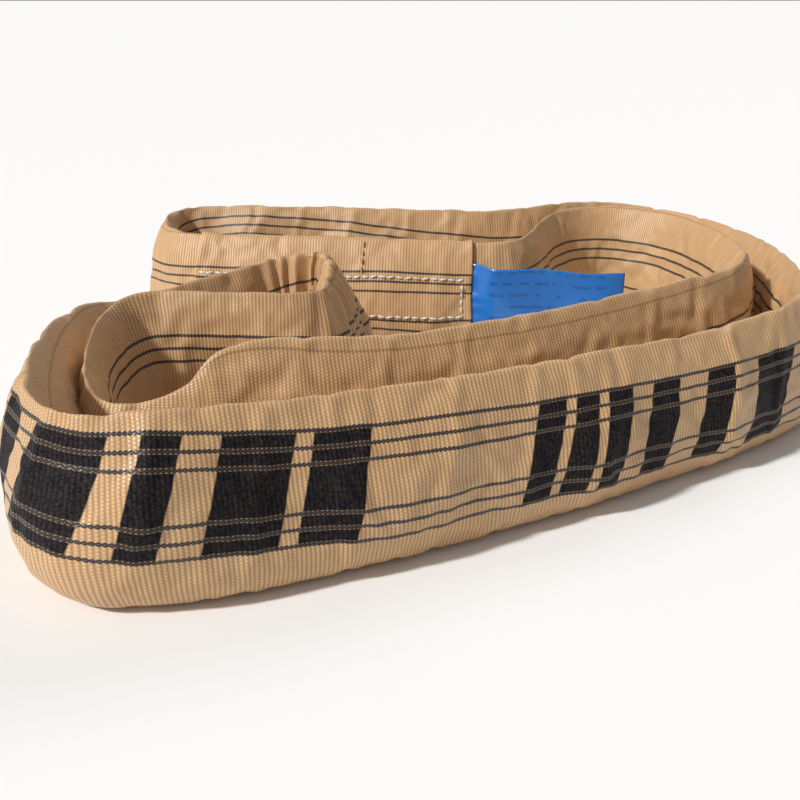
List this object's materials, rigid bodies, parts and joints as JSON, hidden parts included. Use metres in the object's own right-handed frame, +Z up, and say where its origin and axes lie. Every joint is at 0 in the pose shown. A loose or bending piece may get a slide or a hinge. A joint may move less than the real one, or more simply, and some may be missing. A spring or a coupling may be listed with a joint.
{
  "type": "round sling",
  "caption": "Soft endless lifting sling: yarn core in a striped woven tube cover with a sewn joining sleeve and a hinged label, pulled into a doubled strand and coiled on edge.",
  "frame": {"origin": "on the floor under the middle of the coil's bounding box", "axes": "+X to the right along the coil's longer side, +Y to the back, +Z up; the sleeve and the label face -Y"},
  "size_m": [0.3526, 0.3366, 0.067],
  "materials": {
    "cover_cloth": "satin ribbed polyester weave, dark stripes along it",
    "core_yarn": "dry multifilament polyester yarn",
    "tape": "plain woven tape",
    "label": "coated woven label, slightly glossy",
    "thread": "bonded white sewing thread"
  },
  "bodies": {
    "sling": {"cover_tube": "cover_cloth", "joining_sleeve": "cover_cloth", "core_tape": "tape", "label_tail": "label", "core_bundle_1": "core_yarn", "core_bundle_2": "core_yarn", "core_bundle_3": "core_yarn", "core_bundle_4": "core_yarn", "core_bundle_5": "core_yarn", "core_bundle_6": "core_yarn", "seam_upper": "thread", "seam_lower": "thread", "seam_cross": "thread", "seam_label": "thread"},
    "label": {"label_flap": "label"}
  },
  "joints": [
    {"name": "label_swing", "type": "hinge", "parent": "sling", "child": "label", "pos_m": [0.01325, 0.05162, 0.033], "axis": [0, 0, 1], "range_deg": [-110, 0]}
  ]
}
